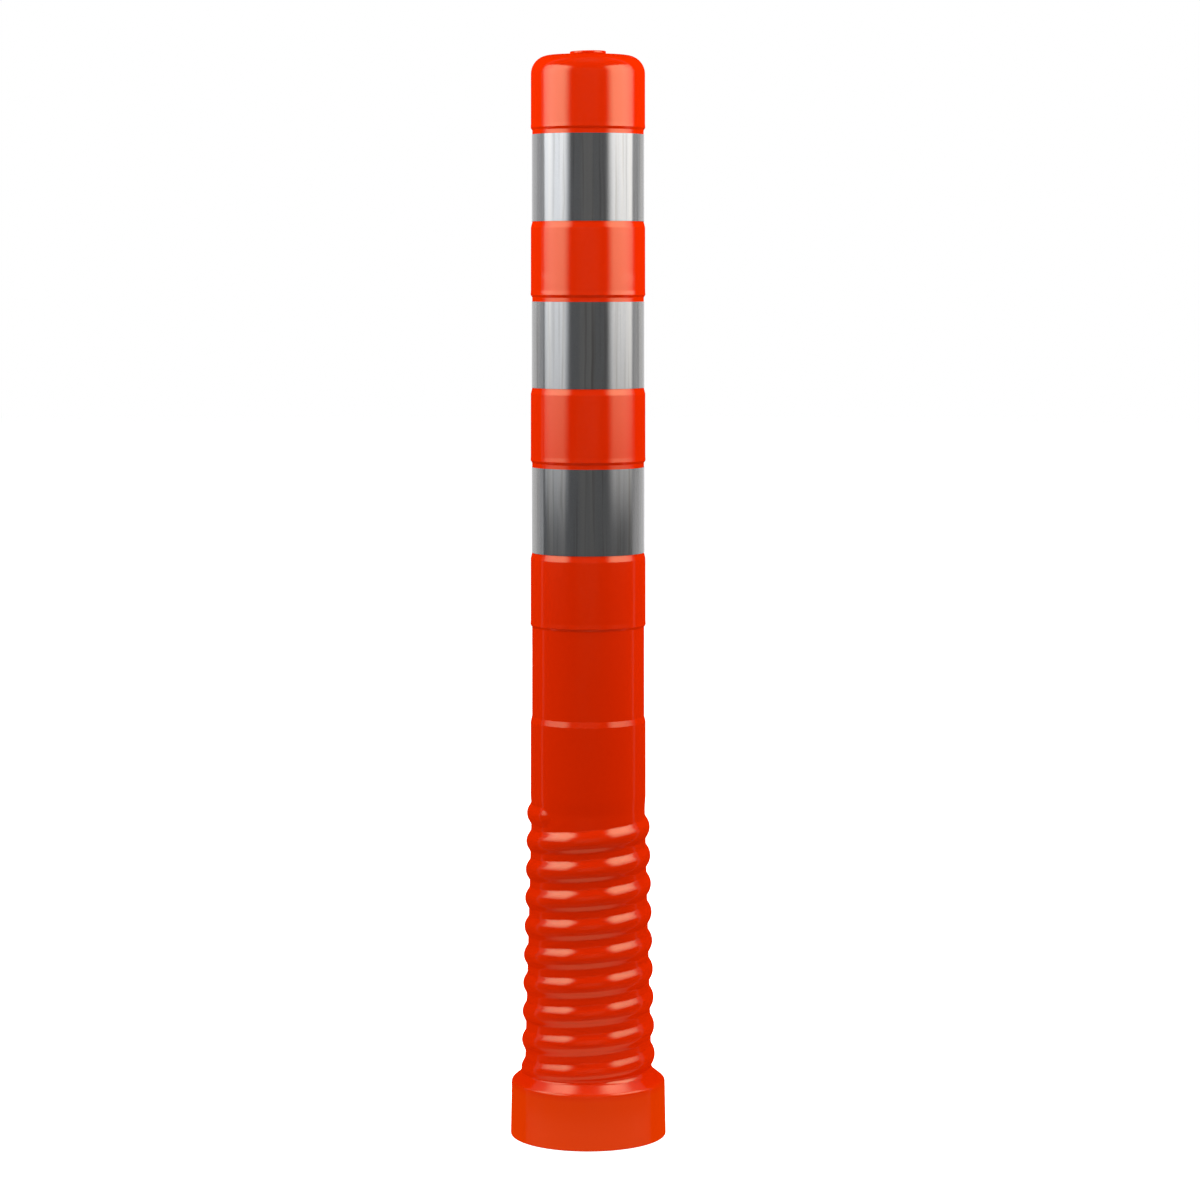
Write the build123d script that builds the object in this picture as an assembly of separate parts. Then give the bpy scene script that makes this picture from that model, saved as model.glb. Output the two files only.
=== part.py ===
from build123d import *
import math
import os

# A flexible traffic delineator post that screws onto a threaded anchor base.
# Millimetres, +Z up, origin at road level on the post's axis.
# The moulding is one piece of springy plastic. It is divided here into the parts that move
# apart when it bends: the tube, each turn of the corrugation, and the foot.

# --- Tube -----------------------------------------------------------------------------
POST_HEIGHT = 750.0          # road level to the top of the plug
TUBE_DIAMETER = 79.8         # just above the corrugation
TUBE_DRAFT = 0.12            # degrees a side: the tube narrows upwards
TUBE_WALL = 4.0
SHOULDER_RADIUS = 12.5       # rounding between the wall and the domed top
CROWN_RISE = 0.3             # how far the dome swells above the end of that rounding

# --- Plug in the top ------------------------------------------------------------------
PLUG_DIAMETER = 24.5
PLUG_PROUD = 2.7
PLUG_EDGE = 0.6
PLUG_DIP_DIAMETER = 13.0
PLUG_DIP = 0.7
PLUG_STEM_DIAMETER = 12.0
PLUG_FIT = 0.05              # between the stem and its hole, a side
PLUG_BARB = 1.2              # how far the barb reaches under the dome, a side
PLUG_BARB_HEIGHT = 4.0

# --- Recesses and reflective films ----------------------------------------------------
FIRST_RECESS_DROP = 52.6     # top of the post to the top of the first recess
RECESS_PITCH = 113.3
RECESS_HEIGHT = 66.8         # with its sloping lower end
RECESS_DEPTH = 0.95
RECESS_SLOPE_HEIGHT = 4.0    # the lower end slopes out, so that water runs off
RECESS_LAND = 30.0           # least plain tube between a recess and the corrugation
FILM_NAMES = ["upper_film", "middle_film", "lower_film"]
FILM_GLUE = 0.05
FILM_THICKNESS = 0.3
FILM_HEIGHT = 58.8
FILM_TOP_MARGIN = 3.7        # bare strip above each film
FILM_JOINT = 1.0             # gap where the two ends of a film meet, at the back

# --- Corrugation: one right-handed ridge wound round a cone ---------------------------
TURN_COUNT = 9
TURN_PITCH = 20.0
FLEX_BOTTOM = 50.0           # road level to the lowest turn
CONE_TOP_STEP = 0.6          # the cone starts this far inside the tube's surface
CONE_BLEND = 9.0             # height over which the cone swells back to the tube
CONE_SPREAD = 4.9            # growth in radius from the top turn to the bottom one
RIDGE_PROUD = 3.1            # height of the ridge above the cone, at the top
RIDGE_FADE = 0.6             # how much lower it stands at the bottom
RIDGE_ROUND = 9.3            # radius of the ridge's rounded back
RIDGE_ROOT = 1.2             # how deep its section reaches into the wall
RIDGE_END_DROP = 0.5         # its middle line ends this far below the top of the last turn
RIDGE_END_ANGLE = 225.0      # where it ends, from +X towards +Y
SEAM_STEP = 0.3              # the tube and foot stand out this far from the cone's ends

# --- Foot -----------------------------------------------------------------------------
FOOT_LEDGE = 10.05           # how far the foot stands out from the bottom of the cone
FOOT_DRAFT = 1.1             # degrees
FOOT_LIFT = 0.3              # gap to the road: the foot is drawn down on the washer
FOOT_EDGE_HEIGHT = 38.9      # road level to the edge of the shoulder
FOOT_SLOPE = 7.6             # rise of the shoulder from its edge to the cone
FOOT_BOTTOM_ROUND = 0.8
FOOT_EDGE_ROUND = 3.0
FOOT_NECK_ROUND = 6.5
FOOT_SKIN = 3.4              # plastic outside the thread ring

# --- Thread ring, friction washer and anchor base -------------------------------------
RING_WALL = 3.2
RING_INSET = 1.0             # plastic under the ring
RING_KEY_COUNT = 8
RING_KEY_WIDTH = 5.0
RING_KEY_PROUD = 1.2
RING_KEY_MARGIN = 5.0        # plastic above and below each key, which holds the ring in
THREAD_LEAD = 8.0
THREAD_TURNS = 2.0
THREAD_START = 8.0           # road level to the middle of the base's thread, at its start
THREAD_DEPTH = 2.0
THREAD_ROOT_WIDTH = 4.4
THREAD_CREST_WIDTH = 2.4
THREAD_CLEARANCE = 0.3       # crest of one thread to the root of the other
THREAD_EMBED = 0.4           # how far a thread's section reaches into its wall
BASE_HEIGHT = 28.0
BASE_FLOOR = 9.0
BASE_RIM = 7.0
BASE_EDGE = 0.8
RIB_WIDTH = 4.0
RIB_HEIGHT = 8.0
BOLT_COUNT = 3
BOLT_CIRCLE = 50.0
BOLT_HOLE = 11.0
BOLT_SEAT = 22.0
BOLT_SEAT_DEPTH = 1.0
WASHER_THICKNESS = 3.0
WASHER_CLEARANCE = 0.3

# --- Worked out from the sizes above --------------------------------------------------
tube_radius = TUBE_DIAMETER / 2
draft_slope = math.tan(math.radians(TUBE_DRAFT))
flex_top = FLEX_BOTTOM + TURN_COUNT * TURN_PITCH
cone_top_radius = tube_radius - CONE_TOP_STEP
cone_bottom_radius = cone_top_radius + CONE_SPREAD
bore_radius = cone_top_radius - TUBE_WALL
foot_bore_radius = cone_bottom_radius - TUBE_WALL
plug_seat = POST_HEIGHT - PLUG_PROUD
shoulder_top = plug_seat - CROWN_RISE
ceiling = shoulder_top - TUBE_WALL
foot_radius = cone_bottom_radius + FOOT_LEDGE
ring_radius = foot_radius - FOOT_SKIN
ring_root_radius = ring_radius - RING_WALL
ring_crest_radius = ring_root_radius - THREAD_DEPTH
base_crest_radius = ring_root_radius - THREAD_CLEARANCE
base_core_radius = base_crest_radius - THREAD_DEPTH
washer_top = BASE_HEIGHT + WASHER_THICKNESS
ring_bottom = FOOT_LIFT + RING_INSET
UP = (Align.CENTER, Align.CENTER, Align.MIN)


def tube_surface(height):
    """Outer radius of the plain tube at a height above the road."""
    return tube_radius - (height - flex_top) * draft_slope


def cone_surface(height):
    """Radius of the corrugation's cone, in the valleys between the turns."""
    return cone_bottom_radius - CONE_SPREAD * (height - FLEX_BOTTOM) / (flex_top - FLEX_BOTTOM)


def revolved(*lines):
    """Solid of revolution from the lines of a closed outline in the XZ plane."""
    return revolve(make_face(lines), Axis.Z)


def disc(radius, bottom, top):
    """Plain cylinder on the Z axis between two heights."""
    return Pos(0, 0, bottom) * Cylinder(radius, top - bottom, align=UP)


def between(solid, bottom, top):
    """The part of a solid between two heights."""
    return solid & disc(2 * foot_radius, bottom, top)


def rounded_corner(corner_x, corner_z, radius):
    """Quarter round from a vertical wall over to a level top."""
    centre_x = corner_x - radius
    centre_z = corner_z - radius
    reach = radius * math.sqrt(0.5)
    return ThreePointArc(
        (corner_x, 0, centre_z),
        (centre_x + reach, 0, centre_z + reach),
        (centre_x, 0, corner_z),
    )


# --- The moulding ---------------------------------------------------------------------
def recess_tops():
    """Height of the top of each recess that the tube has room for."""
    first = POST_HEIGHT - FIRST_RECESS_DROP
    lowest = flex_top + RECESS_LAND + RECESS_HEIGHT
    count = 1 + int((first - lowest) // RECESS_PITCH)
    return [first - index * RECESS_PITCH for index in range(count)]


def recess_cutter(top):
    """Shallow band round the tube, square above and sloping out below."""
    bottom = top - RECESS_HEIGHT
    slope_top = bottom + RECESS_SLOPE_HEIGHT
    outside = tube_radius + RECESS_DEPTH
    outline = Polyline(
        (tube_surface(top) - RECESS_DEPTH, 0, top),
        (tube_surface(slope_top) - RECESS_DEPTH, 0, slope_top),
        (tube_surface(bottom), 0, bottom),
        (outside, 0, bottom),
        (outside, 0, top),
        close=True,
    )
    return revolved(outline)


def ridge():
    """The helical ridge, wound round the cone from inside the foot to its blunt upper end."""
    top = flex_top - RIDGE_END_DROP
    bottom = FLEX_BOTTOM - TURN_PITCH / 2
    slope = (CONE_SPREAD - RIDGE_FADE) / (flex_top - FLEX_BOTTOM)
    depth = RIDGE_PROUD + RIDGE_ROOT
    half_width = math.sqrt(RIDGE_ROUND**2 - (RIDGE_ROUND - depth) ** 2)
    path = Helix(
        pitch=TURN_PITCH,
        height=top - bottom,
        radius=cone_top_radius + RIDGE_PROUD,
        direction=(0, 0, -1),
        cone_angle=math.degrees(math.atan(slope)),
    )
    crest = path @ 0
    root = crest.X + depth
    section = make_face(
        [
            ThreePointArc((root, 0, -half_width), (crest.X, 0, 0), (root, 0, half_width)),
            Line((root, 0, half_width), (root, 0, -half_width)),
        ]
    )
    path_start_angle = 180
    turn = RIDGE_END_ANGLE - path_start_angle
    return Pos(0, 0, top) * Rot(0, 0, turn) * sweep(section, path=path, is_frenet=True)


def corrugation():
    """Cone wall with its ridge. The wall runs on past both ends of the ridge."""
    low = FLEX_BOTTOM - 2 * TURN_PITCH
    high = flex_top + 2 * TURN_PITCH
    outline = Polyline(
        (cone_surface(low) - TUBE_WALL, 0, low),
        (cone_surface(low), 0, low),
        (cone_surface(high), 0, high),
        (cone_surface(high) - TUBE_WALL, 0, high),
        close=True,
    )
    return revolved(outline) + ridge()


def flex_turns(wall):
    """One solid for each turn of the corrugation, from the foot up."""
    levels = [FLEX_BOTTOM + index * TURN_PITCH for index in range(TURN_COUNT + 1)]
    return [between(wall, low, high) for low, high in zip(levels, levels[1:])]


def post_tube(wall):
    """Domed tube above the corrugation, with its recesses and the end of the ridge."""
    side_top = shoulder_top - SHOULDER_RADIUS
    side = tube_surface(side_top)
    crown = side - SHOULDER_RADIUS
    blend_top = flex_top + CONE_BLEND
    dome = Polyline(
        (crown, 0, shoulder_top),
        (PLUG_DIAMETER / 2, 0, plug_seat),
        (0, 0, plug_seat),
        (0, 0, ceiling),
        (crown, 0, ceiling),
    )
    sides = Polyline(
        (side - TUBE_WALL, 0, side_top),
        (bore_radius, 0, flex_top),
        (cone_top_radius + SEAM_STEP, 0, flex_top),
        (tube_surface(blend_top), 0, blend_top),
        (side, 0, side_top),
    )
    solid = revolved(
        rounded_corner(side, shoulder_top, SHOULDER_RADIUS),
        dome,
        rounded_corner(side - TUBE_WALL, ceiling, SHOULDER_RADIUS - TUBE_WALL),
        sides,
    )
    solid += between(wall, flex_top, flex_top + TURN_PITCH / 2)
    for top in recess_tops():
        solid -= recess_cutter(top)
    return solid - disc(PLUG_STEM_DIAMETER / 2, ceiling - 1, POST_HEIGHT)


def foot_collar(wall):
    """Collar at the bottom of the moulding, hollow for the thread ring, washer and base."""
    edge_radius = foot_radius - FOOT_EDGE_HEIGHT * math.tan(math.radians(FOOT_DRAFT))
    neck_radius = cone_bottom_radius + SEAM_STEP
    outer = FilletPolyline(
        (foot_bore_radius, 0, FOOT_LIFT),
        (foot_radius, 0, FOOT_LIFT),
        (edge_radius, 0, FOOT_EDGE_HEIGHT),
        (neck_radius, 0, FOOT_EDGE_HEIGHT + FOOT_SLOPE),
        (neck_radius, 0, FLEX_BOTTOM),
        radius=[FOOT_BOTTOM_ROUND, FOOT_EDGE_ROUND, FOOT_NECK_ROUND],
    )
    inner = Polyline(
        (neck_radius, 0, FLEX_BOTTOM),
        (foot_bore_radius, 0, FLEX_BOTTOM),
        (foot_bore_radius, 0, FOOT_LIFT),
    )
    solid = revolved(outer, inner) + between(wall, FLEX_BOTTOM - TURN_PITCH / 2, FLEX_BOTTOM)
    solid -= disc(ring_root_radius, 0, BASE_HEIGHT)
    solid -= disc(base_core_radius + WASHER_CLEARANCE, BASE_HEIGHT, washer_top)
    return solid - ring_blank()


# --- What is pressed into the moulding or stuck to it ---------------------------------
def top_plug():
    """Round plug that closes the core hole in the dome: dished head, stem and barb."""
    head = PLUG_DIAMETER / 2
    stem = PLUG_STEM_DIAMETER / 2 - PLUG_FIT
    tip = stem - PLUG_BARB
    barb = stem + PLUG_BARB
    dip = PLUG_DIP_DIAMETER / 2
    below = Polyline(
        (0, 0, POST_HEIGHT - PLUG_DIP),
        (0, 0, ceiling - PLUG_BARB_HEIGHT),
        (tip, 0, ceiling - PLUG_BARB_HEIGHT),
        (barb, 0, ceiling),
        (stem, 0, ceiling),
        (stem, 0, plug_seat),
        (head, 0, plug_seat),
        (head, 0, POST_HEIGHT - PLUG_EDGE),
    )
    dish_radius = (dip**2 + PLUG_DIP**2) / (2 * PLUG_DIP)
    dish_middle = dish_radius - math.sqrt(dish_radius**2 - (dip / 2) ** 2)
    dish = ThreePointArc(
        (dip, 0, POST_HEIGHT),
        (dip / 2, 0, POST_HEIGHT - PLUG_DIP + dish_middle),
        (0, 0, POST_HEIGHT - PLUG_DIP),
    )
    rim = Line((head - PLUG_EDGE, 0, POST_HEIGHT), (dip, 0, POST_HEIGHT))
    return revolved(below, rounded_corner(head, POST_HEIGHT, PLUG_EDGE), rim, dish)


def film(recess_top):
    """Reflective film wrapped round the floor of a recess, its ends meeting at the back."""
    top = recess_top - FILM_TOP_MARGIN
    bottom = top - FILM_HEIGHT
    sink = RECESS_DEPTH - FILM_GLUE
    lift = sink - FILM_THICKNESS
    outline = Polyline(
        (tube_surface(top) - sink, 0, top),
        (tube_surface(bottom) - sink, 0, bottom),
        (tube_surface(bottom) - lift, 0, bottom),
        (tube_surface(top) - lift, 0, top),
        close=True,
    )
    joint = Pos(0, tube_radius, top) * Box(FILM_JOINT, tube_radius, 3 * FILM_HEIGHT)
    return revolved(outline) - joint


# --- Thread ring, washer and anchor base ----------------------------------------------
def thread(wall_radius, side, start):
    """Screw thread on a round wall: side is 1 when it stands outwards and -1 inwards."""
    root = wall_radius - side * THREAD_EMBED
    crest = wall_radius + side * THREAD_DEPTH
    path = Helix(pitch=THREAD_LEAD, height=THREAD_TURNS * THREAD_LEAD, radius=wall_radius)
    flank = (THREAD_ROOT_WIDTH - THREAD_CREST_WIDTH) / 2 / THREAD_DEPTH
    root_half = THREAD_ROOT_WIDTH / 2 + THREAD_EMBED * flank
    crest_half = THREAD_CREST_WIDTH / 2
    section = make_face(
        Polyline(
            (root, 0, -root_half),
            (crest, 0, -crest_half),
            (crest, 0, crest_half),
            (root, 0, root_half),
            close=True,
        )
    )
    return Pos(0, 0, start) * sweep(section, path=path, is_frenet=True)


def ring_blank():
    """Outside of the thread ring, with the keys that lock it in the foot."""
    solid = disc(ring_radius, ring_bottom, BASE_HEIGHT)
    key_height = BASE_HEIGHT - ring_bottom - 2 * RING_KEY_MARGIN
    key = Box(2 * RING_KEY_PROUD, RING_KEY_WIDTH, key_height, align=UP)
    for spot in PolarLocations(ring_radius, RING_KEY_COUNT):
        solid += Pos(0, 0, ring_bottom + RING_KEY_MARGIN) * spot * key
    return solid


def thread_ring():
    """Stiff ring moulded into the foot, with the female thread."""
    solid = ring_blank() - disc(ring_root_radius, ring_bottom, BASE_HEIGHT)
    return solid + thread(ring_root_radius, -1, THREAD_START - THREAD_LEAD / 2)


def friction_washer():
    """Rubber washer that the foot clamps on the rim of the base."""
    inner = foot_bore_radius + WASHER_CLEARANCE
    solid = disc(base_core_radius, BASE_HEIGHT, washer_top)
    return solid - disc(inner, BASE_HEIGHT, washer_top)


def anchor_base():
    """Threaded cup that is bolted to the road."""
    solid = disc(base_core_radius, 0, BASE_HEIGHT)
    solid = chamfer(solid.edges().group_by(Axis.Z)[-1], BASE_EDGE)
    pocket_radius = base_core_radius - BASE_RIM
    solid -= disc(pocket_radius, BASE_FLOOR, BASE_HEIGHT)
    solid += thread(base_core_radius, 1, THREAD_START)
    from_axis = (Align.MIN, Align.CENTER, Align.MIN)
    rib = Box(pocket_radius + BASE_RIM / 2, RIB_WIDTH, RIB_HEIGHT, align=from_axis)
    half_step = 180 / BOLT_COUNT
    for spot in PolarLocations(0, BOLT_COUNT, start_angle=half_step):
        solid += Pos(0, 0, BASE_FLOOR) * spot * rib
    seat = disc(BOLT_SEAT / 2, BASE_FLOOR - BOLT_SEAT_DEPTH, BASE_FLOOR + RIB_HEIGHT)
    hole = disc(BOLT_HOLE / 2, 0, BASE_FLOOR)
    for spot in PolarLocations(BOLT_CIRCLE / 2, BOLT_COUNT):
        solid -= spot * seat
        solid -= spot * hole
    return solid


def build_pieces():
    """Every piece of the post, by name."""
    wall = corrugation()
    pieces = {
        "anchor_base": anchor_base(),
        "friction_washer": friction_washer(),
        "thread_ring": thread_ring(),
        "foot_collar": foot_collar(wall),
    }
    for number, turn in enumerate(flex_turns(wall), start=1):
        pieces[f"flex_turn_{number}"] = turn
    pieces["post_tube"] = post_tube(wall)
    pieces["top_plug"] = top_plug()
    for name, recess_top in zip(FILM_NAMES, recess_tops()):
        pieces[name] = film(recess_top)
    return pieces


os.makedirs("parts", exist_ok=True)
for name, piece in build_pieces().items():
    export_step(piece, f"parts/{name}.step")
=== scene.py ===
import math

import bpy
import numpy as np
from mathutils import Matrix, Quaternion, Vector


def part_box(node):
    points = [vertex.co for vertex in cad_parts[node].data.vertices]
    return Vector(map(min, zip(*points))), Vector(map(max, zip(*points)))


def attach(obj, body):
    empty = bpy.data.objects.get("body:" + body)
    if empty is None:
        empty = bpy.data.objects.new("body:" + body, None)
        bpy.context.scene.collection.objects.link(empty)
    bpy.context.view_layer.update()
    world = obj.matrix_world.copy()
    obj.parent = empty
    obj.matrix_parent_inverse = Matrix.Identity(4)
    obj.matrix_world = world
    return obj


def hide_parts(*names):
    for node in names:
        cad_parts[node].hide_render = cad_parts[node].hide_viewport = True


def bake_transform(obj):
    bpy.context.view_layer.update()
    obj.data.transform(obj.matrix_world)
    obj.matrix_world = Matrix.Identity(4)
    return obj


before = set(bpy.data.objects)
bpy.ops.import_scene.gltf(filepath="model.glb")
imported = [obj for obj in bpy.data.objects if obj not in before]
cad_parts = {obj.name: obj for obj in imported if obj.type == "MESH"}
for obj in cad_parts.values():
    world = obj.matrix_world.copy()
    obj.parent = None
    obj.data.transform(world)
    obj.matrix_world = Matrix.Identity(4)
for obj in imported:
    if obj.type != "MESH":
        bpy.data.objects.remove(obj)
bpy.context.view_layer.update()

MM = 0.001
TAU = 2 * math.pi

# --- Sizes, in metres; what the parts in model.glb can give is read from them ------------
TURN_COUNT = 9
FLEX_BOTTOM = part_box("flex_turn_1")[0].z
FLEX_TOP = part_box(f"flex_turn_{TURN_COUNT}")[1].z
TURN_PITCH = (FLEX_TOP - FLEX_BOTTOM) / TURN_COUNT
FOOT_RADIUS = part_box("foot_collar")[1].x
FOOT_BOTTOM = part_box("foot_collar")[0].z
POST_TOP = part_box("top_plug")[1].z
DOME_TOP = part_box("post_tube")[1].z
PLUG_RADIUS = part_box("top_plug")[1].x
PLUG_HOLE_RADIUS = PLUG_RADIUS / 2
FILMS = ["upper_film", "middle_film", "lower_film"]

TUBE_RADIUS = 39.9 * MM          # just above the corrugation
TUBE_SLOPE = math.tan(math.radians(0.12))
WALL = 4.0 * MM
SHOULDER_ROUND = 12.5 * MM
CROWN_RISE = 0.3 * MM
DOME_ROUND = 8 * MM              # round the plug's seat

PLUG_STEM_GAP = 0.175 * MM       # between the stem and the edge of its hole
PLUG_BARB = 1.2 * MM
PLUG_EDGE_ROUND = 0.6 * MM
PLUG_TILT = math.radians(-1.0)
DIP_RADIUS = 6.5 * MM
DIP_DEPTH = 0.7 * MM

FILM_THICKNESS = 0.3 * MM
FILM_JOINT = 1.0 * MM            # gap between the two ends of a film, at the back
FILM_FACE = 0.35 * MM            # its face over the floor of its recess
FILM_RIPPLE = 0.012 * MM
FILM_ROWS = 60

FILM_TOP_MARGIN = 3.7 * MM
RECESS_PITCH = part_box("upper_film")[1].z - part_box("middle_film")[1].z
RECESS_HEIGHT = 66.8 * MM
RECESS_DEPTH = 0.95 * MM
RECESS_COUNT = 4
STEP_HEIGHT = 1.7 * MM           # the rounded upper edge of a recess
STEP_LIP = 0.16 * MM             # it swells outwards a little above that edge
LIP_HEIGHT = 3.0 * MM
SLOPE_HEIGHT = 4.0 * MM          # the sloping lower end of a recess
SLOPE_FOOT_ROUND = 2.5 * MM
SLOPE_TOP_ROUND = 2.0 * MM
STEP_ROUND = 0.8 * MM
LIP_ROUND = 6.0 * MM

CONE_TOP_RADIUS = TUBE_RADIUS - 0.6 * MM
CONE_SPREAD = 4.9 * MM
CONE_BLEND = 9.0 * MM
CONE_FOOT_ROUND = 20 * MM
CONE_TOP_ROUND = 30 * MM
RIDGE_PROUD = 3.1 * MM
RIDGE_FADE = 0.6 * MM
RIDGE_ROUND = 9.3 * MM
RIDGE_FILLET = 1.7 * MM          # blend between the ridge's flanks and the cone
RIDGE_END = math.radians(216)    # azimuth where the ridge starts to run out, from +X
RIDGE_END_DROP = 1.0 * MM        # its line would reach this far below the top of the cone there
RIDGE_LEVEL = 3.4 * MM           # its last stretch runs level, this far below the top of the cone
RIDGE_SINK = 1.2 * MM            # and sinks this much over the last part of the turn
RIDGE_SINK_SPAN = math.radians(40)
RUN_OUT = 0.75                   # under 1 draws the ridge's rounded end out along its line

FOOT_SLOPE_RISE = 7.6 * MM
FOOT_EDGE_HEIGHT = 38.9 * MM
FOOT_DRAFT = math.tan(math.radians(1.1))
FOOT_BOTTOM_ROUND = 0.8 * MM
FOOT_EDGE_ROUND = 3.0 * MM
FOOT_NECK_ROUND = 6.5 * MM
WASHER_GAP = 0.3 * MM
RING_GAP = 0.05 * MM
FOOT_LIP = 4.4 * MM              # reach of the foot's lip under the thread ring
FOOT_LIP_CHAMFER = 1 * MM

SEGMENTS = 288                   # round the post
FINE_RUN = 0.55 * MM             # longest run of the outline up to the top of the cone
LONG_RUN = 3.0 * MM              # and above it
BORE_ROWS = 12


# --- Outlines ---------------------------------------------------------------------------
def tube_surface(height):
    """Outer radius of the plain tube."""
    return TUBE_RADIUS - (height - FLEX_TOP) * TUBE_SLOPE


def rounded(points, radii, step=math.radians(6)):
    """Outline through points (radius, height), with each inner corner turned into an arc."""
    done = [np.array(points[0], float)]
    for before, corner, after, radius in zip(points, points[1:], points[2:], radii):
        corner = np.array(corner, float)
        back = np.array(before, float) - corner
        on = np.array(after, float) - corner
        back /= np.linalg.norm(back)
        on /= np.linalg.norm(on)
        turn = math.pi - math.acos(np.clip(back @ on, -1, 1))
        if radius <= 0 or turn < math.radians(1):
            done.append(corner)
            continue
        reach = radius * math.tan(turn / 2)
        inward = (back + on) / np.linalg.norm(back + on)
        centre = corner + inward * radius / math.cos(turn / 2)
        first = corner + back * reach - centre
        count = max(2, math.ceil(turn / step))
        side = math.copysign(1, back[1] * on[0] - back[0] * on[1])
        for share in np.linspace(0, 1, count + 1):
            angle = side * turn * share
            cosine, sine = math.cos(angle), math.sin(angle)
            done.append(
                centre
                + [first[0] * cosine - first[1] * sine, first[0] * sine + first[1] * cosine]
            )
    done.append(np.array(points[-1], float))
    return np.array(done)


def divided(outline, longest, levels=()):
    """The outline with no run longer than a size, and with a point at each of the levels."""
    done = [outline[0]]
    for low, high in zip(outline, outline[1:]):
        cuts = [
            (level - low[1]) / (high[1] - low[1])
            for level in levels
            if low[1] + 1e-9 < level < high[1] - 1e-9
        ]
        stops = [0.0] + sorted(cuts) + [1.0]
        for start, stop in zip(stops, stops[1:]):
            length = np.linalg.norm(high - low) * (stop - start)
            limit = longest(low[1] + (high[1] - low[1]) * start)
            count = max(1, math.ceil(length / limit))
            for share in np.linspace(start, stop, count + 1)[1:]:
                done.append(low + (high - low) * share)
    return np.array(done)


def recess_corners(top):
    """Corners of one recess, from its sloping lower end up to its rounded upper edge."""
    bottom = top - RECESS_HEIGHT
    slope_top = bottom + SLOPE_HEIGHT
    floor_top = top - STEP_HEIGHT / 2
    lip = top + STEP_HEIGHT / 2
    return [
        (tube_surface(bottom), bottom, SLOPE_FOOT_ROUND),
        (tube_surface(slope_top) - RECESS_DEPTH, slope_top, SLOPE_TOP_ROUND),
        (tube_surface(floor_top) - RECESS_DEPTH, floor_top, STEP_ROUND),
        (tube_surface(lip) + STEP_LIP, lip, STEP_ROUND),
        (tube_surface(lip + LIP_HEIGHT), lip + LIP_HEIGHT, LIP_ROUND),
    ]


def moulding_outline():
    """Outer outline of the moulding, without its ridge, from the foot to the plug's seat."""
    cone_bottom = CONE_TOP_RADIUS + CONE_SPREAD
    edge = FOOT_RADIUS - FOOT_EDGE_HEIGHT * FOOT_DRAFT
    first_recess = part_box(FILMS[0])[1].z + FILM_TOP_MARGIN
    corners = [
        (FOOT_RADIUS, FOOT_BOTTOM, FOOT_BOTTOM_ROUND),
        (edge, FOOT_EDGE_HEIGHT, FOOT_EDGE_ROUND),
        (cone_bottom, FOOT_EDGE_HEIGHT + FOOT_SLOPE_RISE, FOOT_NECK_ROUND),
        (cone_bottom, FLEX_BOTTOM, CONE_FOOT_ROUND),
        (CONE_TOP_RADIUS, FLEX_TOP, CONE_TOP_ROUND),
        (tube_surface(FLEX_TOP + CONE_BLEND), FLEX_TOP + CONE_BLEND, CONE_TOP_ROUND),
    ]
    for index in reversed(range(RECESS_COUNT)):
        corners += recess_corners(first_recess - index * RECESS_PITCH)
    side = tube_surface(DOME_TOP - SHOULDER_ROUND)
    corners += [
        (side, DOME_TOP - CROWN_RISE, SHOULDER_ROUND),
        (PLUG_RADIUS, DOME_TOP, DOME_ROUND),
    ]
    points = [(FOOT_RADIUS - 2 * MM, FOOT_BOTTOM)]
    points += [corner[:2] for corner in corners]
    points.append((PLUG_HOLE_RADIUS, DOME_TOP))
    levels = [FLEX_BOTTOM + index * TURN_PITCH for index in range(TURN_COUNT + 1)]

    def longest(height):
        return FINE_RUN if height < FLEX_TOP + CONE_BLEND else LONG_RUN

    return divided(rounded(points, [corner[2] for corner in corners]), longest, levels)


# --- The ridge --------------------------------------------------------------------------
def smooth_larger(a, b, width):
    """The larger of two heights, with a fillet where they cross."""
    near = np.clip(width - np.abs(a - b), 0, None) / width
    return np.maximum(a, b) + near**2 * width / 4


def ridge_radius(azimuth, height):
    """Radius of the ridge's rounded back over a point of the cone, low where it has none."""
    found = np.full(np.broadcast(azimuth, height).shape, -1.0)
    level = FLEX_TOP - RIDGE_LEVEL
    for turn in range(-1, TURN_COUNT + 2):
        wound = azimuth - RIDGE_END - turn * TAU
        middle = np.minimum(FLEX_TOP - RIDGE_END_DROP + wound / TAU * TURN_PITCH, level)
        past_end = np.clip(wound, 0, None) * CONE_TOP_RADIUS * RUN_OUT
        across = np.sqrt((height - middle) ** 2 + past_end**2)
        crest = CONE_TOP_RADIUS + RIDGE_PROUD
        crest = crest + (FLEX_TOP - middle) / (FLEX_TOP - FLEX_BOTTOM) * (CONE_SPREAD - RIDGE_FADE)
        sunk = np.clip(1 + wound / RIDGE_SINK_SPAN, 0, 1)
        crest = crest - RIDGE_SINK * sunk**2 * (3 - 2 * sunk)
        fall = RIDGE_ROUND - np.sqrt(np.clip(RIDGE_ROUND**2 - across**2, 0, None))
        found = np.maximum(found, np.where(across < RIDGE_ROUND, crest - fall, -1.0))
    return found


def skin_radius(azimuth, radius, height):
    """Outer radius of the moulding: its outline, or the ridge where that stands out."""
    ridge = ridge_radius(azimuth, height)
    return np.where(ridge > 0, smooth_larger(radius, ridge, RIDGE_FILLET), radius)


# --- Meshes -----------------------------------------------------------------------------
AZIMUTHS = np.linspace(0, TAU, SEGMENTS, endpoint=False)


def ring_points(radius, height):
    """Points of one ring; the radius may differ from point to point."""
    return np.stack(
        [radius * np.cos(AZIMUTHS), radius * np.sin(AZIMUTHS), height + 0 * AZIMUTHS], axis=-1
    )


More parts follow.
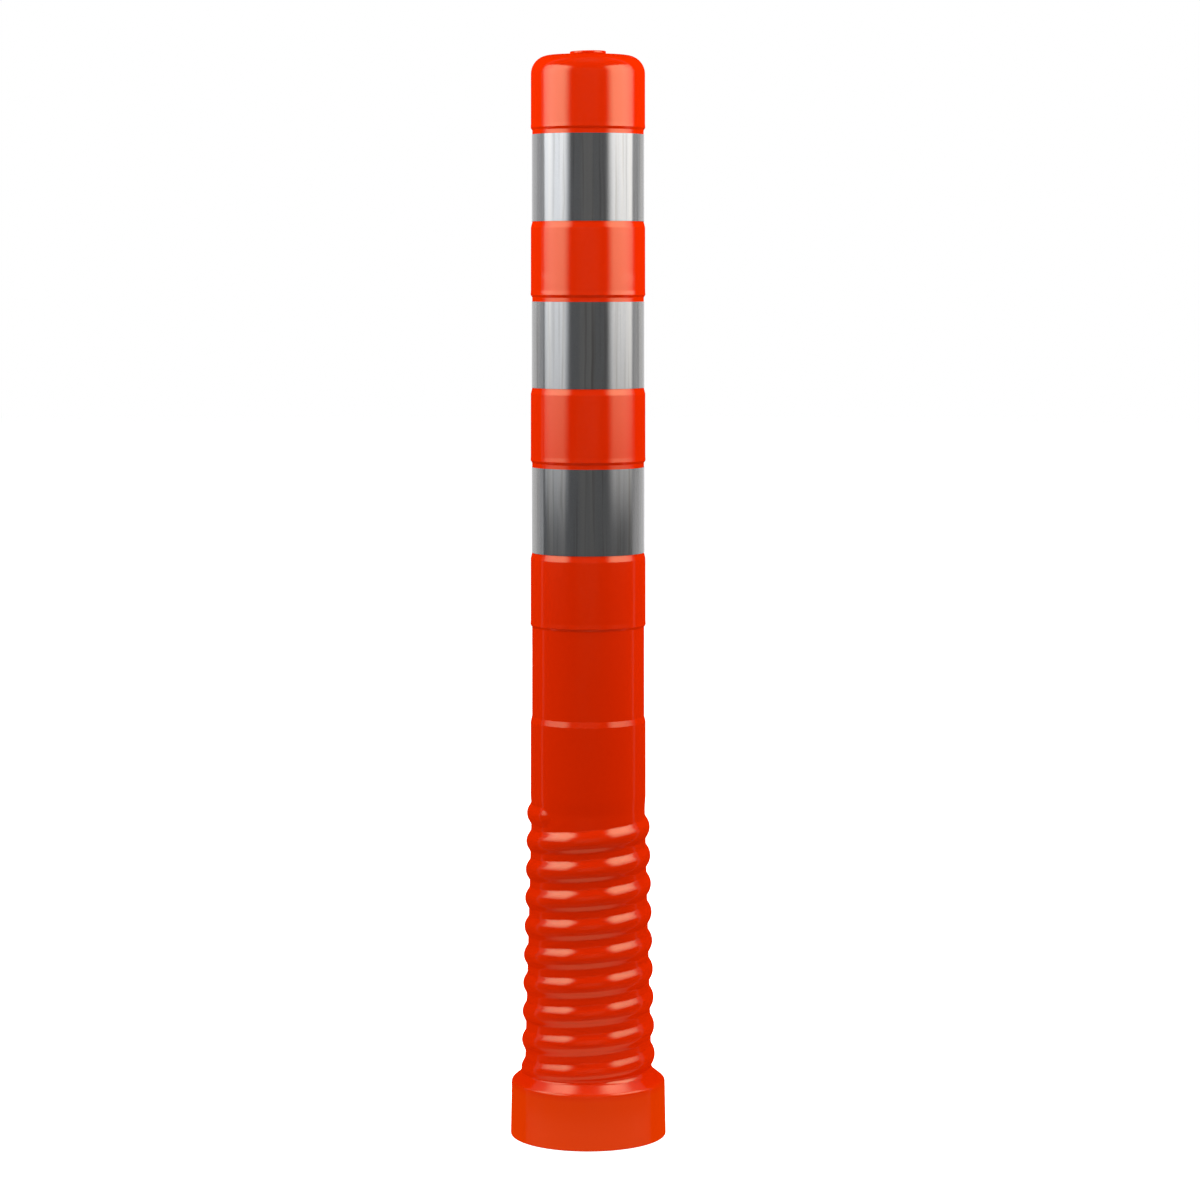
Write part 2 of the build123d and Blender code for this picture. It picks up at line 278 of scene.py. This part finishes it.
def skin_rings(outline):
    """Rings of the moulding's skin for the points of an outline, and their normals."""
    rings = np.array([
        ring_points(skin_radius(AZIMUTHS, radius, height), height) for radius, height in outline
    ])
    along = np.gradient(rings, axis=0)
    around = np.roll(rings, -1, axis=1) - np.roll(rings, 1, axis=1)
    normals = np.cross(around, along)
    return rings, normals / np.linalg.norm(normals, axis=-1, keepdims=True)


def placed(name, data):
    """Object that holds some data, in the scene."""
    thing = bpy.data.objects.new(name, data)
    bpy.context.collection.objects.link(thing)
    return thing


def band(low, high, around, closed=True):
    """Faces between two rings of points, each given by the number of its first point."""
    faces = []
    for column in range(around if closed else around - 1):
        beside = (column + 1) % around
        faces.append((low + column, low + beside, high + beside, high + column))
    return faces


def closed_skin(name, rings, normals=None):
    """Mesh through rings that follow one another and come back to the first."""
    count, around = rings.shape[:2]
    faces = []
    for row in range(count):
        faces += band(row * around, (row + 1) % count * around, around)
    return finished_mesh(name, rings.reshape(-1, 3), faces, normals)


def capped_skin(name, rings):
    """Mesh through rings, closed at each end with a fan about its middle."""
    count, around = rings.shape[:2]
    points = list(rings.reshape(-1, 3)) + [rings[0].mean(axis=0), rings[-1].mean(axis=0)]
    low, high = count * around, count * around + 1
    faces = []
    for row in range(count - 1):
        faces += band(row * around, (row + 1) * around, around)
    for column in range(around):
        beside = (column + 1) % around
        faces.append((low, beside, column))
        faces.append((high, (count - 1) * around + column, (count - 1) * around + beside))
    return finished_mesh(name, np.array(points), faces)


def finished_mesh(name, points, faces, normals=None):
    """Object with a smooth mesh, with its own normals where they are given."""
    mesh = bpy.data.meshes.new(name)
    mesh.from_pydata([tuple(p) for p in points], [], faces)
    mesh.update()
    mesh.shade_smooth()
    if normals is not None:
        own = np.array([v.normal for v in mesh.vertices])
        given = ~np.isnan(normals[:, 0])
        own[given] = normals[given]
        mesh.normals_split_custom_set_from_vertices([tuple(n) for n in own])
    return placed(name, mesh)


def bore_radius(height):
    """Radius of the moulding's bore."""
    if height <= FLEX_BOTTOM:
        return CONE_TOP_RADIUS + CONE_SPREAD - WALL
    if height >= FLEX_TOP:
        top = tube_surface(DOME_TOP - SHOULDER_ROUND) - WALL
        share = (height - FLEX_TOP) / (DOME_TOP - SHOULDER_ROUND - FLEX_TOP)
        return CONE_TOP_RADIUS - WALL + share * (top - CONE_TOP_RADIUS + WALL)
    share = (height - FLEX_BOTTOM) / (FLEX_TOP - FLEX_BOTTOM)
    return CONE_TOP_RADIUS - WALL + (1 - share) * CONE_SPREAD


OUTLINE = moulding_outline()
SKIN, SKIN_NORMALS = skin_rings(OUTLINE)


def skin_between(low, high):
    """The rows of the skin between two heights."""
    inside = (OUTLINE[:, 1] > low - 1e-7) & (OUTLINE[:, 1] < high + 1e-7)
    return SKIN[inside], SKIN_NORMALS[inside]


def hollow_piece(name, low, high, bore):
    """Closed piece of the moulding: its skin between two heights, and its bore."""
    skin, normals = skin_between(low, high)
    inner = np.array([ring_points(radius, height) for radius, height in bore])
    rings = np.concatenate([skin, inner])
    blank = np.full(inner.shape, np.nan)
    given = np.concatenate([normals, blank]).reshape(-1, 3)
    return closed_skin(name, rings, given)


def flex_turn(number):
    """One turn of the corrugation, between the bodies below and above it."""
    low = FLEX_BOTTOM + (number - 1) * TURN_PITCH
    high = low + TURN_PITCH
    bore = [(bore_radius(h), h) for h in np.linspace(high, low, BORE_ROWS)]
    return hollow_piece(f"ridged_turn_{number}", low, high, bore)


def crisp(path, reach=0.15 * MM):
    """A path with two points close to each inner corner, which keeps its edge crisp."""
    path = [np.array(point, float) for point in path]
    done = [path[0]]
    for before, corner, after in zip(path, path[1:], path[2:]):
        for end in (before, after):
            away = end - corner
            done.append(corner + away / np.linalg.norm(away) * reach)
    done.append(path[-1])
    return done


def foot_piece():
    """Foot of the moulding, hollow for the thread ring, the washer and the base."""
    washer_low, washer_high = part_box("friction_washer")
    ring_low, ring_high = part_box("thread_ring")
    bore = bore_radius(FLEX_BOTTOM)
    washer_bore = washer_high.x + WASHER_GAP
    ring_seat = ring_high.x + RING_GAP
    lip = ring_high.x - FOOT_LIP
    inside = crisp([
        (bore, FLEX_BOTTOM),
        (bore, washer_high.z),
        (washer_bore, washer_high.z),
        (washer_bore, washer_low.z),
        (ring_seat, ring_high.z),
        (ring_seat, ring_low.z),
        (lip, ring_low.z),
        (lip, FOOT_BOTTOM),
        (lip + FOOT_LIP_CHAMFER, FOOT_BOTTOM),
    ])
    return hollow_piece("foot", 0, FLEX_BOTTOM, inside)


def tube_piece():
    """Tube and dome of the moulding, with the hole for the plug's stem."""
    ceiling = DOME_TOP - CROWN_RISE - WALL
    side = bore_radius(DOME_TOP)
    corner = SHOULDER_ROUND - WALL
    inside = [(PLUG_HOLE_RADIUS, ceiling)]
    for angle in np.linspace(math.pi / 2, 0, 8):
        radius = side - corner + corner * math.cos(angle)
        inside.append((radius, ceiling - corner + corner * math.sin(angle)))
    heights = np.linspace(ceiling - corner, FLEX_TOP, BORE_ROWS)[1:]
    inside += [(bore_radius(height), height) for height in heights]
    return hollow_piece("tube", FLEX_TOP, POST_TOP, inside)


def plug_piece():
    """Plug in the dome: a dished head that stands a little tilted, a stem and a barb."""
    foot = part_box("top_plug")[0].z
    ceiling = DOME_TOP - CROWN_RISE - WALL
    stem = PLUG_HOLE_RADIUS - PLUG_STEM_GAP
    path = crisp([
        (stem - PLUG_BARB, foot),
        (stem + PLUG_BARB, ceiling),
        (stem, ceiling),
        (stem, DOME_TOP),
        (PLUG_RADIUS - 0.1 * MM, DOME_TOP),
    ])
    path += [(PLUG_RADIUS, DOME_TOP + 0.1 * MM), (PLUG_RADIUS, POST_TOP - PLUG_EDGE_ROUND)]
    for angle in np.linspace(0, math.pi / 2, 7)[1:]:
        radius = PLUG_RADIUS - PLUG_EDGE_ROUND + PLUG_EDGE_ROUND * math.cos(angle)
        path.append((radius, POST_TOP - PLUG_EDGE_ROUND + PLUG_EDGE_ROUND * math.sin(angle)))
    for share in np.linspace(1.15, 0.05, 12):
        path.append((DIP_RADIUS * share, POST_TOP - DIP_DEPTH * max(0, 1 - share**2)))
    piece = capped_skin("plug", np.array([ring_points(r, h) for r, h in path]))
    seat = Vector((0, 0, DOME_TOP))
    tilt = Matrix.Rotation(PLUG_TILT, 4, "Y")
    piece.data.transform(Matrix.Translation(seat) @ tilt @ Matrix.Translation(-seat))
    return piece


def film_ripple(number, around):
    """How far a film's face stands out of true at each azimuth, different for each film."""
    random = np.random.default_rng(20 + number)
    wave = np.zeros(around.shape)
    for count in range(5, 60):
        wave += np.sin(count * around + random.uniform(0, TAU)) * random.normal() / count**1.3
    return wave * (FILM_RIPPLE / np.abs(wave).max())


def film_ends(rows, columns):
    """Faces that close the two upright ends of a film."""
    faces = []
    for row in range(rows // 2 - 1):
        opposite = rows - 1 - row
        for column, turned in ((0, False), (columns - 1, True)):
            face = [
                row * columns + column,
                (row + 1) * columns + column,
                (opposite - 1) * columns + column,
                opposite * columns + column,
            ]
            faces.append(tuple(reversed(face)) if turned else tuple(face))
    return faces


def film_piece(number, cad_name):
    """Reflective film: a strip wrapped round the tube, with its two ends meeting at the back."""
    low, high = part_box(cad_name)
    joint = FILM_JOINT / high.x
    start = math.pi / 2 + joint / 2
    around = np.linspace(start, start + TAU - joint, SEGMENTS)
    wave = film_ripple(number, around)
    outside, inside = [], []
    for height in np.linspace(low.z, high.z, FILM_ROWS):
        outer = tube_surface(height) - RECESS_DEPTH + FILM_FACE
        lean = (height - low.z) / (high.z - low.z)
        ripple = wave * (0.7 + 0.3 * lean)
        for radius, side in ((outer + ripple, outside), (outer - FILM_THICKNESS, inside)):
            side.append(np.stack(
                [radius * np.cos(around), radius * np.sin(around), height + 0 * around], axis=-1
            ))
    points = np.array(outside + inside[::-1])
    rows, columns = points.shape[:2]
    faces = []
    for row in range(rows):
        faces += band(row * columns, (row + 1) % rows * columns, columns, closed=False)
    faces += film_ends(rows, columns)
    piece = finished_mesh(f"film_{number}", points.reshape(-1, 3), faces)
    piece.data.set_sharp_from_angle(angle=math.radians(40))
    return piece


# --- Materials --------------------------------------------------------------------------
DULL_WALL_WITH_PAINTED_LIGHT = (34 * MM, 41 * MM)     # heights between which the foot's wall, duller and painted paler with light from the floor, fades out
DARK_STREAKS_BEGIN = (45 * MM, 55 * MM)   # darker fine streaks over the ridged part fade in here
DARK_STREAKS_END = (100 * MM, 230 * MM)   # and out here


def new_material(name, **settings):
    """Material with a Principled shader, and constants set on the shader itself."""
    material = bpy.data.materials.new(name)
    material.use_nodes = True
    shader = material.node_tree.nodes["Principled BSDF"]
    for socket, value in settings.items():
        shader.inputs[socket.replace("_", " ")].default_value = value
    return material, shader


def add_node(material, kind, properties=None, **inputs):
    """Node of a material; an input is a value or another node's output."""
    node = material.node_tree.nodes.new(kind)
    for name, value in (properties or {}).items():
        setattr(node, name, value)
    for name, value in inputs.items():
        socket = node.inputs[int(name[1:])] if name[0] == "i" and name[1:].isdigit() else (
            node.inputs[name.replace("_", " ")]
        )
        if isinstance(value, bpy.types.NodeSocket):
            material.node_tree.links.new(value, socket)
        else:
            socket.default_value = value
    return node


def coordinates(material):
    """Coordinates in metres."""
    return add_node(material, "ShaderNodeTexCoord").outputs["Object"]


def place(material, scale=(1, 1, 1)):
    """Coordinates in metres, stretched by a scale."""
    return add_node(
        material, "ShaderNodeMapping", Vector=coordinates(material), Scale=scale
    ).outputs["Vector"]


def noise(material, vector, scale, detail=3.0, roughness=0.5):
    """Noise from 0 to 1."""
    return add_node(
        material, "ShaderNodeTexNoise", Vector=vector, Scale=scale, Detail=detail,
        Roughness=roughness,
    ).outputs["Fac"]


def spread(material, value, low, high, new_low, new_high):
    """A value carried from one range to another."""
    return add_node(
        material, "ShaderNodeMapRange", i0=value, i1=low, i2=high, i3=new_low, i4=new_high
    ).outputs["Result"]


def product(material, first, second):
    """Two values multiplied."""
    return add_node(
        material, "ShaderNodeMath", {"operation": "MULTIPLY"}, i0=first, i1=second
    ).outputs["Value"]


def mixed(material, factor, first, second):
    """Colour between two colours."""
    node = add_node(material, "ShaderNodeMix", {"data_type": "RGBA"}, i0=factor)
    for index, value in ((6, first), (7, second)):
        if isinstance(value, bpy.types.NodeSocket):
            material.node_tree.links.new(value, node.inputs[index])
        else:
            node.inputs[index].default_value = (*value, 1)
    return node.outputs[2]


def bumped(material, shader, *layers):
    """Bump of several layers, each a height from 0 to 1 and its size in metres."""
    normal = None
    for height, size in layers:
        inputs = {"Height": height, "Distance": size, "Strength": 1.0}
        if normal is not None:
            inputs["Normal"] = normal
        normal = add_node(material, "ShaderNodeBump", **inputs).outputs["Normal"]
    material.node_tree.links.new(normal, shader.inputs["Normal"])


def link(material, value, shader, socket):
    """Carries a value to one of the shader's sockets."""
    material.node_tree.links.new(value, shader.inputs[socket])


def orange_tone(material, wall, height):
    """Colour of the orange: cloudy, finely grained, painted paler on the foot's wall with light from the
    floor, darker in fine streaks over the ridged part.
    """
    cloud = noise(material, place(material, (1, 1, 0.6)), 14.0)
    grain = noise(material, place(material), 420.0, 2.0)
    streak = noise(material, place(material, (0.08, 0.08, 1)), 380.0, 2.0)
    tone = mixed(material, cloud, (0.66, 0.0195, 0.0001), (0.70, 0.0215, 0.0002))
    grained = spread(material, grain, 0.35, 0.65, 0, 0.18)
    tone = mixed(material, grained, tone, (0.63, 0.0180, 0.0001))
    # painted light: the foot's wall is drawn paler, as light from the pale floor makes it look
    tone = mixed(material, wall, tone, (0.69, 0.0370, 0.0002))
    # darker in fine horizontal streaks over the ridged part, most near its foot
    ribbed = product(
        material, spread(material, height, *DARK_STREAKS_BEGIN, 0, 1), spread(material, height, *DARK_STREAKS_END, 1, 0)
    )
    dark_streaks = product(material, ribbed, spread(material, streak, 0.5, 0.75, 0, 0.45))
    return mixed(material, dark_streaks, tone, (0.50, 0.0120, 0.0001))


def orange_gloss(material, wall):
    """Specular level of the orange: lower at glancing angles and on the wall of the foot."""
    grazing = add_node(material, "ShaderNodeLayerWeight", Blend=0.5).outputs["Facing"]
    return product(
        material, spread(material, grazing, 0.24, 0.44, 0.5, 0), spread(material, wall, 0, 1, 1, 0.3)
    )


def orange_plastic():
    """Moulded polyurethane: glossy, a little uneven, duller on the wall of the foot, whose colour is also
    painted paler with light from the floor.
    """
    material, shader = new_material(
        "orange_polyurethane", IOR=1.55, Specular_Tint=(1.0, 0.98, 0.60, 1)
    )
    height = add_node(
        material, "ShaderNodeSeparateXYZ", i0=coordinates(material)
    ).outputs["Z"]
    # mask of the foot's wall: it makes the gloss duller and carries the painted light from the floor
    wall = spread(material, height, *DULL_WALL_WITH_PAINTED_LIGHT, 1.0, 0.0)
    link(material, orange_tone(material, wall, height), shader, "Base Color")
    smear = noise(material, place(material, (1, 1, 0.35)), 55.0)
    smear = spread(material, smear, 0.3, 0.7, 0.11, 0.16)
    dull = add_node(
        material, "ShaderNodeMath", {"operation": "MULTIPLY_ADD"}, i0=wall, i1=0.06, i2=smear
    ).outputs["Value"]
    link(material, dull, shader, "Roughness")
    link(material, orange_gloss(material, wall), shader, "Specular IOR Level")
    swell = noise(material, place(material, (1, 1, 0.45)), 22.0, 2.0)
    peel = noise(material, place(material), 700.0, 2.0)
    bumped(material, shader, (swell, 0.25 * MM), (peel, 0.008 * MM))
    return material


def film_silver():
    """Reflective film: fine beads under a clear face, with streaks down it."""
    material, shader = new_material("reflective_film", Metallic=0.6, IOR=2.1)
    beads = noise(material, place(material), 2600.0, 1.0)
    wobble = noise(material, place(material, (1, 1, 0.5)), 30.0, 2.0)
    shifted = add_node(
        material, "ShaderNodeVectorMath", {"operation": "MULTIPLY_ADD"},
        i0=(2.5 * MM, 2.5 * MM, 0), i1=wobble, i2=place(material, (1, 1, 0.012)),
    ).outputs["Vector"]
    bands = noise(material, shifted, 130.0, 2.0)
    threads = noise(material, shifted, 420.0, 2.0)
    tone = mixed(
        material, spread(material, beads, 0.35, 0.65, 0, 1), (0.181, 0.185, 0.192), (0.218, 0.220, 0.228)
    )
    tone = mixed(material, spread(material, bands, 0.45, 0.70, 0, 0.75), tone, (0.27, 0.262, 0.252))
    tone = mixed(material, spread(material, threads, 0.52, 0.72, 0, 0.6), tone, (0.10, 0.094, 0.086))
    link(material, tone, shader, "Base Color")
    link(material, spread(material, bands, 0.3, 0.7, 0.11, 0.17), shader, "Roughness")
    swell = noise(material, place(material, (1, 1, 0.25)), 45.0, 2.0)
    bumped(material, shader, (swell, 0.10 * MM), (beads, 0.004 * MM))
    return material


def dark_nylon(name, tone):
    """Glass-filled nylon with a fine moulded grain."""
    material, shader = new_material(name, IOR=1.5)
    grain = noise(material, place(material), 900.0, 4.0, 0.7)
    cloud = noise(material, place(material), 60.0)
    darker = tuple(channel * 0.7 for channel in tone)
    link(material, mixed(material, cloud, darker, tone), shader, "Base Color")
    link(material, spread(material, grain, 0.3, 0.7, 0.38, 0.6), shader, "Roughness")
    bumped(material, shader, (grain, 0.05 * MM))
    return material


def washer_rubber():
    """Soft black rubber with a dusty, matte face."""
    material, shader = new_material("washer_rubber", IOR=1.5)
    dust = noise(material, place(material), 180.0, 5.0, 0.6)
    tone = mixed(material, dust, (0.012, 0.012, 0.013), (0.045, 0.044, 0.042))
    link(material, tone, shader, "Base Color")
    link(material, spread(material, dust, 0.3, 0.7, 0.62, 0.85), shader, "Roughness")
    bumped(material, shader, (dust, 0.08 * MM))
    return material


def paint(piece, material):
    """Gives a piece one material."""
    piece.data.materials.clear()
    piece.data.materials.append(material)


# --- Assembly ---------------------------------------------------------------------------
def build_object():
    """All pieces; the foot, tube, plug and films each on its body."""
    orange = orange_plastic()
    for piece, node, body in (
        (foot_piece(), "foot_collar", "foot"),
        (tube_piece(), "post_tube", "post"),
        (plug_piece(), "top_plug", "post"),
    ):
        paint(piece, orange)
        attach(piece, body)
        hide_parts(node)
    for number in range(1, TURN_COUNT + 1):
        piece = flex_turn(number)
        paint(piece, orange)
        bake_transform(piece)
        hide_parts(f"flex_turn_{number}")
    silver = film_silver()
    for number, cad_name in enumerate(FILMS, 1):
        piece = film_piece(number, cad_name)
        paint(piece, silver)
        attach(piece, "post")
        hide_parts(cad_name)
    paint(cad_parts["thread_ring"], dark_nylon("ring_nylon", (0.050, 0.052, 0.055)))
    paint(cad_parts["anchor_base"], dark_nylon("base_nylon", (0.030, 0.031, 0.033)))
    paint(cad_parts["friction_washer"], washer_rubber())


# --- Studio -----------------------------------------------------------------------------
FLOOR_REACH = 12.0
CARD_RADIUS = 0.15
CARD_SIDES = 48
PAPER_RADIUS = 3.2
PAPER_HEIGHTS = (-5.0, 8.0)
PAPER_STEPS = 24

SOFTBOX_WIDTH, SOFTBOX_HEIGHT = 1.06, 0.88
SOFTBOX_DISTANCE = 0.86
SOFTBOX_LOW = 0.38               # height of its low edge
SOFTBOX_LEAN = math.radians(14)
SOFTBOX_FADE_POWER = 0.55        # under 1 keeps more of the light near its low edge
LEFT_FADES = (0.08, 0.30, 0.50, 0.06)     # shares at its left, right, low and high edge
RIGHT_FADES = (0.30, 0.08, 0.50, 0.06)

STRIP_ASIDE, STRIP_BEHIND, STRIP_HEIGHT = 0.215, 0.078, 0.60
STRIP_TURN = math.radians(43)
STRIP_FADES = (0.4, 0.4, 0.5, 0.5)

CAMERA_PLACE = (0.0082, -2.406, 0.602)
CAMERA_DIP = math.radians(5.39)


def set_piece(name, points, faces):
    """Sheet of paper or card in the studio."""
    mesh = bpy.data.meshes.new(name)
    mesh.from_pydata(points, [], faces)
    return placed(name, mesh)


def white_floor():
    """Pale floor under the post; the post neither mirrors it nor takes light from it."""
    reach = FLOOR_REACH
    corners = [(-reach, -reach, 0), (reach, -reach, 0), (reach, reach, 0), (-reach, reach, 0)]
    floor = set_piece("floor", corners, [(0, 1, 2, 3)])
    material, shader = new_material(
        "floor_paper", Specular_IOR_Level=0.1, Emission_Color=(1, 1, 1, 1), Emission_Strength=0.97
    )
    cloud = noise(material, place(material), 3.0)
    tone = mixed(material, cloud, (0.90, 0.90, 0.90), (0.93, 0.93, 0.93))
    link(material, tone, shader, "Base Color")
    link(material, spread(material, cloud, 0.3, 0.7, 0.75, 0.9), shader, "Roughness")
    paint(floor, material)
    floor.visible_glossy = False
    floor.visible_diffuse = False


def soften_edges(lamp, shares, low_power):
    """Fades a lamp's glow out over shares of its size at its left, right, low and high edge."""
    lamp.use_nodes = True
    nodes, links = lamp.node_tree.nodes, lamp.node_tree.links
    spot = nodes.new("ShaderNodeSeparateXYZ")
    links.new(nodes.new("ShaderNodeNewGeometry").outputs["Parametric"], spot.inputs["Vector"])
    left, right, low, high = shares
    glow = None
    for axis, edge, inside, steepness in (
        ("X", 0.0, left, 1.0), ("X", 1.0, 1.0 - right, 1.0),
        ("Y", 0.0, low, low_power), ("Y", 1.0, 1.0 - high, 1.0),
    ):
        fade = nodes.new("ShaderNodeMapRange")
        fade.interpolation_type = "SMOOTHSTEP" if steepness == 1.0 else "LINEAR"
        fade.inputs["From Min"].default_value = edge
        fade.inputs["From Max"].default_value = inside
        links.new(spot.outputs[axis], fade.inputs["Value"])
        curve = nodes.new("ShaderNodeMath")
        curve.operation = "POWER"
        curve.inputs[1].default_value = steepness
        links.new(fade.outputs["Result"], curve.inputs[0])
        if glow is None:
            glow = curve.outputs["Value"]
            continue
        both = nodes.new("ShaderNodeMath")
        both.operation = "MULTIPLY"
        links.new(glow, both.inputs[0])
        links.new(curve.outputs["Value"], both.inputs[1])
        glow = both.outputs["Value"]
    links.new(glow, nodes["Emission"].inputs["Strength"])


def gloss_card():
    """Card round the foot, warm with light off the post, which shows in the gloss only."""
    rim = [
        (CARD_RADIUS * math.cos(angle), CARD_RADIUS * math.sin(angle), 0.5 * MM)
        for angle in np.linspace(0, TAU, CARD_SIDES, False)
    ]
    card = set_piece("gloss_card", rim, [tuple(range(CARD_SIDES))])
    material, shader = new_material(
        "card_paper", Roughness=1.0, Specular_IOR_Level=0.0, Emission_Color=(1.0, 0.80, 0.60, 1),
        Emission_Strength=0.75,
    )
    cloud = noise(material, place(material), 4.0)
    tone = mixed(material, cloud, (0.02, 0.02, 0.02), (0.03, 0.03, 0.03))
    link(material, tone, shader, "Base Color")
    paint(card, material)
    card.visible_camera = False
    card.visible_diffuse = False
    card.visible_shadow = False


def area_lamp(name, middle, target, width, height, radiance):
    """Rectangular lamp that glows evenly towards a target."""
    lamp = bpy.data.lights.new(name, "AREA")
    lamp.shape = "RECTANGLE"
    lamp.size = width
    lamp.size_y = height
    lamp.energy = radiance * 4 * width * height
    holder = placed(name, lamp)
    holder.location = middle
    holder.rotation_mode = "QUATERNION"
    holder.rotation_quaternion = (Vector(target) - Vector(middle)).to_track_quat("-Z", "Y")
    holder.visible_camera = False
    return holder


def softbox(name, azimuth, radiance, shares, tint):
    """Softbox beside the post, leaning over it; its azimuth is measured from the camera's side."""
    away = Vector((math.sin(azimuth), -math.cos(azimuth), 0))
    across = SOFTBOX_HEIGHT / 2 * math.sin(SOFTBOX_LEAN)
    height = SOFTBOX_LOW + SOFTBOX_HEIGHT / 2 * math.cos(SOFTBOX_LEAN)
    middle = away * (SOFTBOX_DISTANCE - across) + Vector((0, 0, height))
    facing = -away * math.cos(SOFTBOX_LEAN) - Vector((0, 0, math.sin(SOFTBOX_LEAN)))
    holder = area_lamp(
        name, middle, middle + facing, SOFTBOX_WIDTH, SOFTBOX_HEIGHT, radiance
    )
    holder.data.color = tint
    soften_edges(holder.data, shares, SOFTBOX_FADE_POWER)


def strip_lamp(side):
    """Small lamp beside the post and a little behind it, facing down, for the gloss only."""
    middle = (side * STRIP_ASIDE, STRIP_BEHIND, STRIP_HEIGHT)
    strip = area_lamp("strip", middle, (middle[0], middle[1], 0), 0.42, 0.22, 6.5)
    strip.rotation_quaternion = Quaternion((0, 0, 1), side * STRIP_TURN)
    strip.visible_diffuse = False
    soften_edges(strip.data, STRIP_FADES, 1.0)


def backdrop(name, first, last, glow):
    """White paper curved round part of the set, from one azimuth to another off the camera."""
    spots = []
    for azimuth in np.linspace(math.radians(first), math.radians(last), PAPER_STEPS + 1):
        for height in PAPER_HEIGHTS:
            spots.append((PAPER_RADIUS * math.sin(azimuth), -PAPER_RADIUS * math.cos(azimuth), height))
    faces = [(2 * i, 2 * i + 2, 2 * i + 3, 2 * i + 1) for i in range(PAPER_STEPS)]
    paper = set_piece(name, spots, faces)
    material, shader = new_material(
        name + "_paper", Roughness=1.0, Emission_Color=(1, 1, 1, 1), Emission_Strength=glow
    )
    cloud = noise(material, place(material), 1.5)
    tone = mixed(material, cloud, (0.02, 0.02, 0.02), (0.03, 0.03, 0.03))
    link(material, tone, shader, "Base Color")
    paint(paper, material)
    paper.visible_camera = False


def white_world(scene):
    """White surroundings that only the camera sees."""
    world = bpy.data.worlds.new("studio")
    world.use_nodes = True
    background = world.node_tree.nodes["Background"]
    background.inputs["Color"].default_value = (1, 1, 1, 1)
    background.inputs["Strength"].default_value = 1.0
    scene.world = world
    for ray in ("diffuse", "glossy", "transmission", "scatter"):
        setattr(world.cycles_visibility, ray, False)


def front_camera(scene):
    """Camera in front of the post, a little above it and looking down."""
    lens = bpy.data.cameras.new("camera")
    lens.lens = 105
    lens.sensor_width = 36
    lens.clip_end = 60
    camera = placed("camera", lens)
    camera.location = CAMERA_PLACE
    camera.rotation_euler = (math.pi / 2 - CAMERA_DIP, 0, 0)
    scene.camera = camera


def studio():
    """White surroundings, a softbox and a strip lamp at each side, and the camera."""
    scene = bpy.context.scene
    white_world(scene)
    scene.view_settings.view_transform = "Standard"
    white_floor()
    backdrop("backdrop", 127, 233, 1.0)
    backdrop("left_wing", 233, 257, 0.75)
    backdrop("right_wing", 103, 127, 0.75)
    gloss_card()
    glow = area_lamp("floor_glow", (0, 0, 0.2 * MM), (0, 0, 1), 0.68, 0.68, 0.80)
    glow.visible_glossy = False
    softbox("softbox_left", math.radians(-67), 3.6, LEFT_FADES, (0.96, 0.985, 1.0))
    softbox("softbox_right", math.radians(70), 3.7, RIGHT_FADES, (1.0, 0.985, 0.95))
    fill = area_lamp("fill", (0, -2.6, 0.9), (0, 0, 0.3), 2.4, 1.6, 1.5)
    fill.visible_glossy = False
    overhead = area_lamp("overhead", (0, -0.3, 2.2), (0, 0, 0), 1.0, 1.0, 2.2)
    overhead.visible_glossy = False
    for side in (-1, 1):
        strip_lamp(side)
    front_camera(scene)


build_object()
studio()
